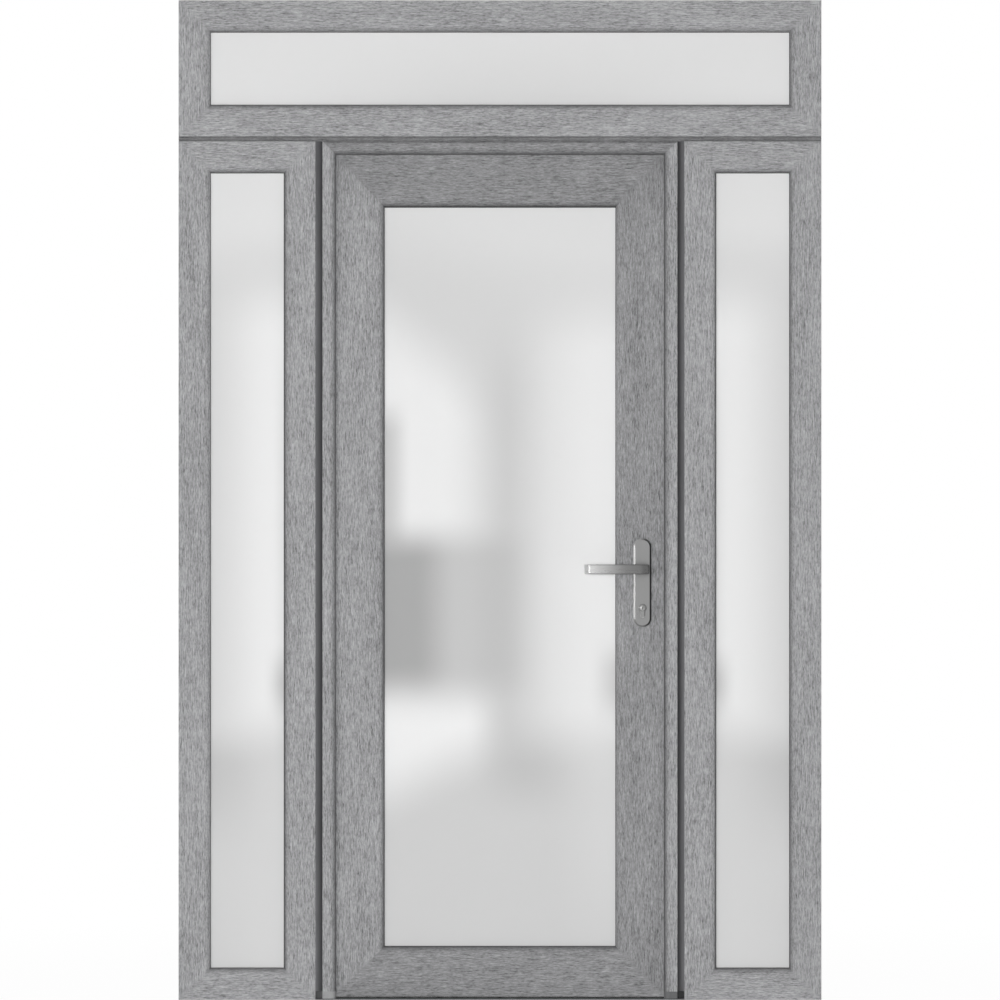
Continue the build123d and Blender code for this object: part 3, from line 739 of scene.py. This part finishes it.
def hingeCaps():
    # quarter ellipse turned round the hinge axis: height = crown times the root of 1 - r squared
    share = np.sin(np.linspace(hingeCap["pole"], np.pi / 2, hingeCap["rings"]))
    skirtShare, skirtDrop = hingeCap["skirt"]
    height = hingeCap["crown"] * np.sqrt(np.clip(1 - share**2, 0, 1))
    radii = np.append(share, skirtShare) * hingeCap["radius"]
    points, faces = turned(radii, np.append(height, -skirtDrop), hingeCap["segments"])
    low, high = boxOf("hinge_pins")
    axisX, axisY = (low[0] + high[0]) / 2, (low[1] + high[1]) / 2
    levels = hingeLevels()
    reach = (high[2] - low[2] - (levels[-1] - levels[0])) / 2
    spots = [((axisX, axisY, level + side * reach), (0, 0, side)) for level in levels for side in (-1, 1)]
    points, faces = planted(points, faces, spots)
    addPiece("hingeCaps", points, faces, "frame", finishes["satin_steel"])


def sweptRun(profile, path):
    # a closed profile (outward, indoors) carried along a path in the door's plane, mitred at its corners
    path = np.asarray(path, float)
    steps = np.diff(path, axis=0)
    steps /= np.linalg.norm(steps, axis=1)[:, None]
    before = np.vstack([steps[:1], steps])
    after = np.vstack([steps, steps[-1:]])
    outBefore = np.stack([-before[:, 1], before[:, 0]], -1)
    outAfter = np.stack([-after[:, 1], after[:, 0]], -1)
    outward = outBefore + outAfter
    outward /= (outward * outBefore).sum(1)[:, None]
    x = path[:, None, 0] + outward[:, None, 0] * profile[None, :, 0]
    z = path[:, None, 1] + outward[:, None, 1] * profile[None, :, 0]
    y = np.broadcast_to(profile[None, :, 1], x.shape)
    points = np.stack([x, y, z], -1).reshape(-1, 3)
    return points, [*ringQuads(*x.shape), *endCaps(*x.shape)]


seal = {"width": 0.009, "fullness": 0.6, "points": 28, "rib": 0.0003, "ribs": 4}


def bulbSeal():
    # half ellipse, filled out by a power below 1, with shallow ribs along it, over the seal strip's width
    low, high = boxOf("frame_seal")
    width = seal["width"]
    angle = np.linspace(0, np.pi, seal["points"])
    bulb = (high[1] - low[1] - seal["rib"]) * np.sin(angle) ** seal["fullness"]
    ribs = seal["rib"] * np.abs(np.sin(seal["ribs"] * angle)) * np.sin(angle)
    profile = np.stack([-width / 2 * (1 - np.cos(angle)), low[1] + (bulb + ribs)], -1)
    inner, top = high[0] - width, high[2] - width
    path = [(inner, low[2]), (inner, top), (-inner, top), (-inner, low[2])]
    points, faces = sweptRun(profile, path)
    piece = addPiece("bulbSeal", points, faces, "frame", finishes["black_rubber"])
    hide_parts("frame_seal")


sweep = {
    "gap": 0.0006,  # over the threshold
    "depth": 0.008,
    "taper": 0.7,  # depth at the foot over depth at the root
    "root": 0.001,  # how far it reaches into the rail
    "bristles": 0.0012,  # height of the ripple
    "faceWaves": (2600.0, 4130.0),  # radians per metre along the brush
    "secondWave": (0.6, 1.0),  # its height over the first one's, and its phase
    "footWave": 3300.0,
    "footShare": 0.25,  # half the foot's swing over the height of the ripple
    "sway": (0.2, 0.5),  # share of the ripple at the root and at the foot
    "columns": 700,
}


def sweepSeal():
    # brush under the leaf: a thin wall whose faces ripple along its length by two sines and its foot by one
    low, high = boxOf("leaf_bottom_rail")
    floor = boxOf("threshold")[1][2] + sweep["gap"]
    middle = (low[1] + high[1]) / 2
    along = np.linspace(low[0], high[0], sweep["columns"])
    first, second = sweep["faceWaves"]
    share, phase = sweep["secondWave"]
    waves = np.sin(along * first) + share * np.sin(along * second + phase)
    ripple = sweep["bristles"] * waves / (1 + share)
    foot = floor + sweep["bristles"] * sweep["footShare"] * (1 + np.sin(along * sweep["footWave"]))
    top = np.full_like(along, low[2] + sweep["root"])
    half = sweep["depth"] / 2
    narrow = half * sweep["taper"]
    rootSway, footSway = sweep["sway"]
    edges = [
        (-half, rootSway, top),
        (-narrow, footSway, foot),
        (narrow, footSway, foot),
        (half, rootSway, top),
    ]
    rings = [np.stack([along, middle + out + ripple * sway, height], -1) for out, sway, height in edges]
    points = np.stack(rings, 1).reshape(-1, 3)
    size = (sweep["columns"], len(edges))
    faces = [face[::-1] for face in [*ringQuads(*size), *endCaps(*size)]]
    addPiece("sweepSeal", points, faces, "leaf", finishes["black_rubber"])


grub = {
    "radius": 0.0024,
    "segments": 36,
    "reach": (0.02, 0.3, 0.5, 0.56, 0.8, 0.96, 1.0, 1.0),  # over the radius
    "height": (-0.6, -0.6, -0.6, 0.0, 0.0, 0.0, -0.06, -0.8),
    "socket": 0.6,  # share of the radius inside which the rings are six-sided
    "neckRadius": 0.0095,
    "fromPlate": 0.014,
}


def leverGrubs():
    # set screw under each neck: a flat ring round a socket whose radius is that of a hexagon at each angle
    radius = grub["radius"]
    reach, height = np.array(grub["reach"]), np.array(grub["height"])
    points, faces = turned(reach * radius, height * radius, grub["segments"])
    angle = np.arctan2(points[:, 1], points[:, 0])
    flat = np.cos(np.pi / 6) / np.cos((angle + np.pi / 6) % (np.pi / 3) - np.pi / 6)
    socket = np.hypot(points[:, 0], points[:, 1]) < grub["socket"] * radius
    points[socket, :2] *= flat[socket, None]
    low, high = boxOf("spindle")
    lowest = (low[2] + high[2]) / 2 - grub["neckRadius"]
    middle = (low[0] + high[0]) / 2
    outer = boxOf("outer_handle_plate")[0][1] - grub["fromPlate"]
    inner = boxOf("inner_handle_plate")[1][1] + grub["fromPlate"]
    spots = [((middle, depth, lowest), (0, 0, -1)) for depth in (outer, inner)]
    points, faces = planted(points, faces, spots)
    addPiece("leverGrubs", points, faces, "lever_set", finishes["plain_steel"])


keyhole = {
    "radius": 0.0098,
    "tailHalf": 0.0064,
    "tailDrop": 0.0172,
    "slope": 0.0021,  # how far the wall leans in
    "rise": 0.0023,
    "ledge": 0.05,  # share of the rise that is upright
    "bulge": 0.9,
    "root": 0.001,  # how far it reaches into the plate
    "rings": 6,
    "headPoints": 40,
    "tailPoints": 20,
}
plug = {
    "radius": 0.0062,
    "pole": 0.0004,
    "wall": 0.0003,
    "dome": 0.0017,
    "rings": 10,
    "segments": 48,
    "groove": 0.0074,
    "grooveEnds": (-0.0005, 0.0001),  # from the collar's face
}
keySlotSize = {
    "half": (0.0008, 0.004),
    "scale": (1.0, 0.97, 0.5),
    "lift": (-0.0004, 0.0001, 0.0001),  # of each ring from the dome
    "segments": 32,
}


def keyholeOutline(inset):
    # round head over a straight tail with a round end, walked anticlockwise from the tail's right shoulder
    radius, half = keyhole["radius"] - inset, keyhole["tailHalf"] - inset
    shoulder = np.arcsin(half / radius)
    head = np.linspace(-np.pi / 2 + shoulder, 1.5 * np.pi - shoulder, keyhole["headPoints"])
    foot = np.linspace(np.pi, 2 * np.pi, keyhole["tailPoints"])
    x = np.concatenate([radius * np.cos(head), half * np.cos(foot)])
    z = np.concatenate([radius * np.sin(head), half * np.sin(foot) - keyhole["tailDrop"]])
    return np.stack([x, z], -1)


def lockCollar():
    # keyhole outline that moves in by slope times share while it rises by share to the power of the bulge
    share = np.linspace(0, 1, keyhole["rings"])
    insets = np.concatenate([[0.0], keyhole["slope"] * share])
    climb = keyhole["ledge"] + (1 - keyhole["ledge"]) * share ** keyhole["bulge"]
    heights = np.concatenate([[-keyhole["root"]], keyhole["rise"] * climb])
    rings = np.stack([keyholeOutline(inset) for inset in insets])
    size = rings.shape[:2]
    height = np.broadcast_to(heights[:, None, None], (*size, 1))
    points = np.concatenate([rings, height], -1).reshape(-1, 3)
    return points, [*ringQuads(*size), *endCaps(*size)]


def plugShadeRing():
    # painted shade: a short black cylinder round the plug, standing for the shadow in the gap round it
    heights = keyhole["rise"] + np.array(plug["grooveEnds"])
    return turned(np.full(2, plug["groove"]), heights, plug["segments"])


def plugDome():
    # profile turned round the key's axis: a short wall and then a parabola of radius
    reach = np.linspace(plug["radius"], plug["pole"], plug["rings"])
    dome = plug["wall"] + plug["dome"] * (1 - (reach / plug["radius"]) ** 2)
    radii = np.concatenate([[plug["radius"]], reach])
    return turned(radii, np.concatenate([[0.0], dome]) + keyhole["rise"], plug["segments"])


def keywayShade():
    # painted shade: small black ellipse laid on the plug's parabola, its rim sunk, standing for the shade
    # inside the keyway
    turn = np.linspace(0, 2 * np.pi, keySlotSize["segments"], endpoint=False)
    halfX, halfZ = keySlotSize["half"]
    x = np.outer(keySlotSize["scale"], halfX * np.cos(turn))
    z = np.outer(keySlotSize["scale"], halfZ * np.sin(turn))
    lift = np.array(keySlotSize["lift"])[:, None]
    onDome = plug["dome"] * (1 - (x**2 + z**2) / plug["radius"] ** 2) + lift
    points = np.stack([x, z, keyhole["rise"] + plug["wall"] + onDome], -1).reshape(-1, 3)
    return points, [*ringQuads(*x.shape), *endCaps(*x.shape)]


def lockFaces():
    low, high = boxOf("lock_cylinder")
    middle, axisZ = (low[0] + high[0]) / 2, high[2] - hardware["cylinderRadius"]
    shapes = {
        "lockCollar": (*lockCollar(), "satin_steel"),
        "plugShadeRing": (*plugShadeRing(), "black_rubber"),
        "plugDome": (*plugDome(), "key_steel"),
        "keywayShade": (*keywayShade(), "black_rubber"),
    }
    outside = (-1, boxOf("outer_handle_plate")[0][1])
    inside = (1, boxOf("inner_handle_plate")[1][1])
    for where, (side, face) in {"Outside": outside, "Inside": inside}.items():
        for name, (points, faces, finish) in shapes.items():
            # across, up and out from the plate, turned round indoors so that outward stays outward
            x, y, z = middle - side * points[:, 0], face + side * points[:, 2], axisZ + points[:, 1]
            placed = np.stack([x, y, z], -1)
            addPiece(name + where, placed, faces, "leaf", finishes[finish])


leafScrews()
lockFaces()
frameScrews()
hingeCaps()
bulbSeal()
sweepSeal()
leverGrubs()
print("pieces added")
